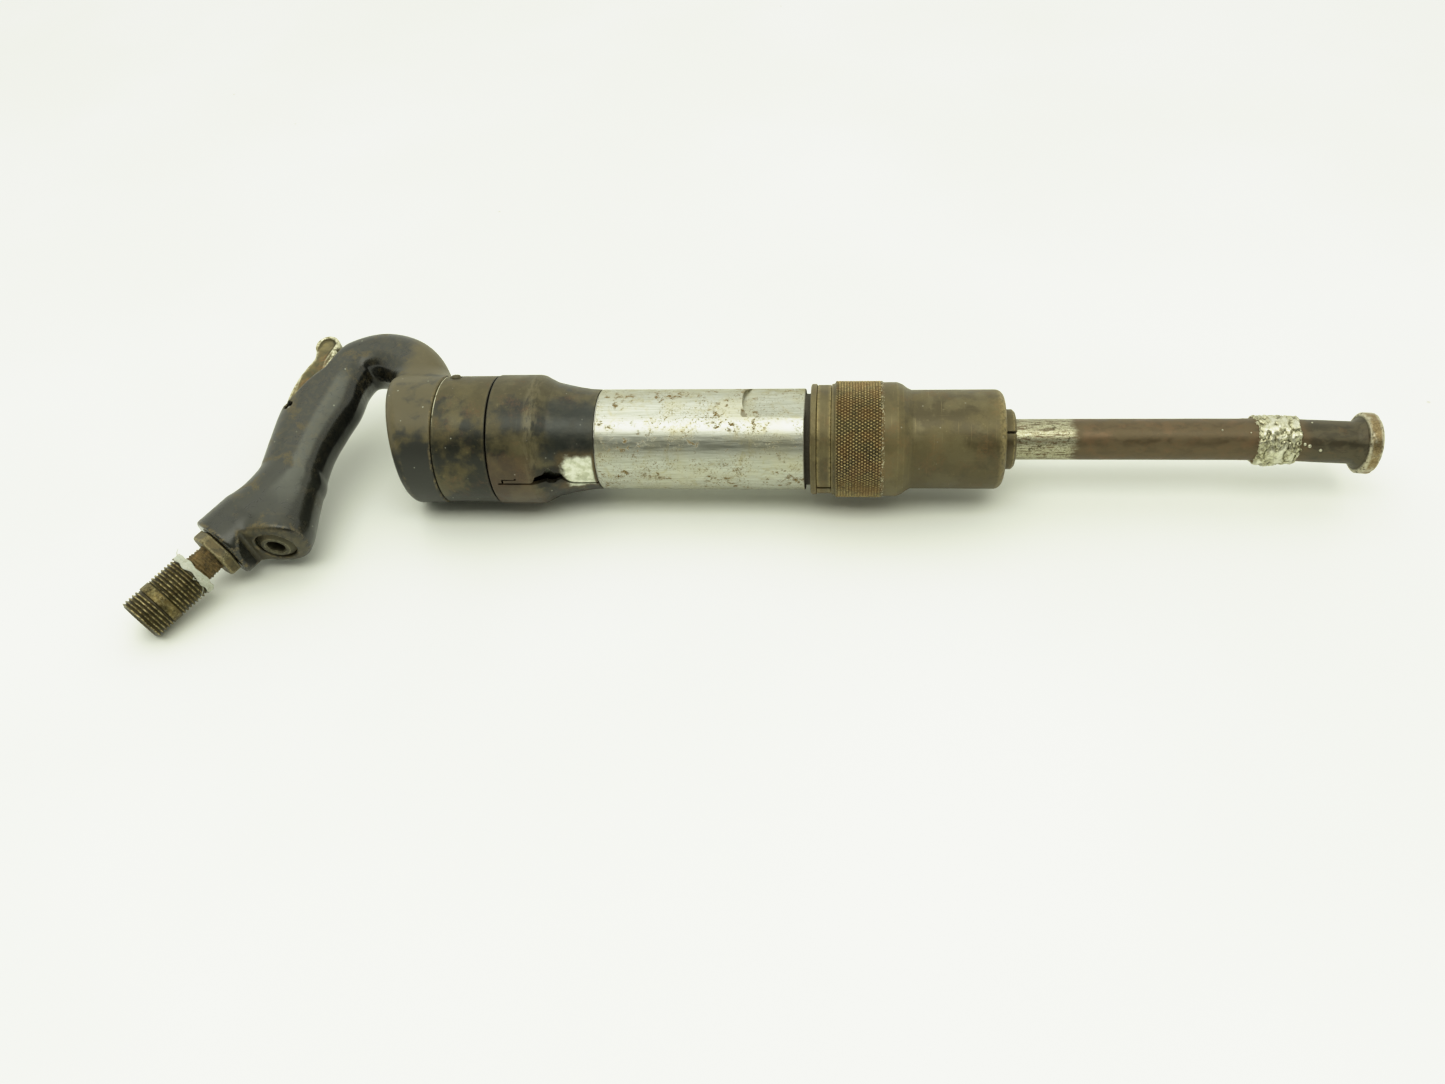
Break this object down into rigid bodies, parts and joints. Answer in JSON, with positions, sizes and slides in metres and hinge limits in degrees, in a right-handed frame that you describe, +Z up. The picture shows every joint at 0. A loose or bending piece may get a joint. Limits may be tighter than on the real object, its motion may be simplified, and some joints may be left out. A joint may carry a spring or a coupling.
{
  "type": "pneumatic chipping hammer",
  "caption": "Long pneumatic hammer with an open gooseneck handle, throttle lever, bright barrel, knurled retainer and a round tool with a flanged end.",
  "frame": {"origin": "middle of the tool's footprint on the bench it lies on", "axes": "+X along the barrel from the handle to the tool, +Z up off the bench, +Y towards the back of the gooseneck"},
  "size_m": [0.56, 0.1716, 0.0619],
  "materials": {
    "worn_black_casting": "black paint worn glossy by hand, rust at the edges",
    "oxidised_steel": "brown-black oxide with scratches and orange rust",
    "bright_steel": "bright ground steel with rust specks",
    "machined_steel": "machined, oiled",
    "tarnished_brass": "tarnished, bright on thread crests",
    "rusty_pipe": "rusty malleable iron",
    "black_rubber": "matt",
    "copper_gasket": "soft copper",
    "thread_tape": "grubby white film"
  },
  "bodies": {
    "hammer_body": {"barrel": "bright_steel", "cap_gasket": "copper_gasket", "clamp_sleeve": "oxidised_steel", "deflector_snap_ring": "machined_steel", "handle": "worn_black_casting", "hose_adapter": "tarnished_brass", "inlet_bushing": "rusty_pipe", "inlet_screen": "tarnished_brass", "lever_pin": "machined_steel", "lock_button_spring": "machined_steel", "pipe_nipple": "rusty_pipe", "shank_bushing": "machined_steel", "thread_tape": "thread_tape", "throttle_cap": "oxidised_steel", "throttle_seat": "machined_steel", "throttle_spring": "machined_steel", "valve_chest": "machined_steel", "valve_cover": "machined_steel", "valve_dowel_1": "machined_steel", "valve_dowel_2": "machined_steel", "valve_gasket": "copper_gasket"},
    "lever": {"throttle_lever": "oxidised_steel"},
    "push_pin": {"throttle_pin": "machined_steel"},
    "valve": {"throttle_valve": "machined_steel"},
    "spool": {"valve_spool": "machined_steel"},
    "piston": {"piston": "machined_steel"},
    "deflector": {"exhaust_deflector": "oxidised_steel"},
    "lock_button": {"lock_button": "oxidised_steel"},
    "retainer": {"retainer": "oxidised_steel", "retainer_lock_spring": "oxidised_steel", "retainer_bumper": "black_rubber"},
    "split_sleeve": {"split_sleeve_upper": "oxidised_steel", "split_sleeve_lower": "oxidised_steel"},
    "tool": {"tool_bit": "oxidised_steel"}
  },
  "joints": [
    {"name": "throttle_lever_press", "type": "hinge", "parent": "hammer_body", "child": "lever", "pos_m": [-0.22978, 0.03454, 0.0336], "axis": [0, 0.1994, -0.9799], "range_deg": [0, 8]},
    {"name": "throttle_pin_travel", "type": "slide", "parent": "hammer_body", "child": "push_pin", "axis": [0, -0.9799, -0.1994], "range_m": [0, 0.00153]},
    {"name": "throttle_valve_lift", "type": "slide", "parent": "hammer_body", "child": "valve", "axis": [0, -0.9799, -0.1994], "range_m": [0, 0.00153]},
    {"name": "valve_spool_shuttle", "type": "slide", "parent": "hammer_body", "child": "spool", "axis": [1, 0, 0], "range_m": [0, 0.0028]},
    {"name": "piston_stroke", "type": "slide", "parent": "hammer_body", "child": "piston", "axis": [1, 0, 0], "range_m": [0, 0.103]},
    {"name": "deflector_turn", "type": "hinge", "parent": "hammer_body", "child": "deflector", "pos_m": [-0.09538, 0.02161, 0.03097], "axis": [1, 0, 0], "continuous": true},
    {"name": "lock_button_press", "type": "slide", "parent": "hammer_body", "child": "lock_button", "axis": [0, -0.4384, -0.8988], "range_m": [0, 0.001]},
    {"name": "retainer_turn", "type": "hinge", "parent": "hammer_body", "child": "retainer", "pos_m": [0.06962, 0.02161, 0.03097], "axis": [1, 0, 0], "continuous": true},
    {"name": "split_sleeve_turn", "type": "hinge", "parent": "retainer", "child": "split_sleeve", "pos_m": [0.10462, 0.02161, 0.03097], "axis": [1, 0, 0], "continuous": true},
    {"name": "tool_travel", "type": "slide", "parent": "split_sleeve", "child": "tool", "axis": [1, 0, 0], "range_m": [0, 0.011]}
  ],
  "couplings": [
    {"joint": "throttle_pin_travel", "follows": "throttle_lever_press", "m_per_rad": 0.010743},
    {"joint": "throttle_valve_lift", "follows": "throttle_lever_press", "m_per_rad": 0.010743}
  ]
}
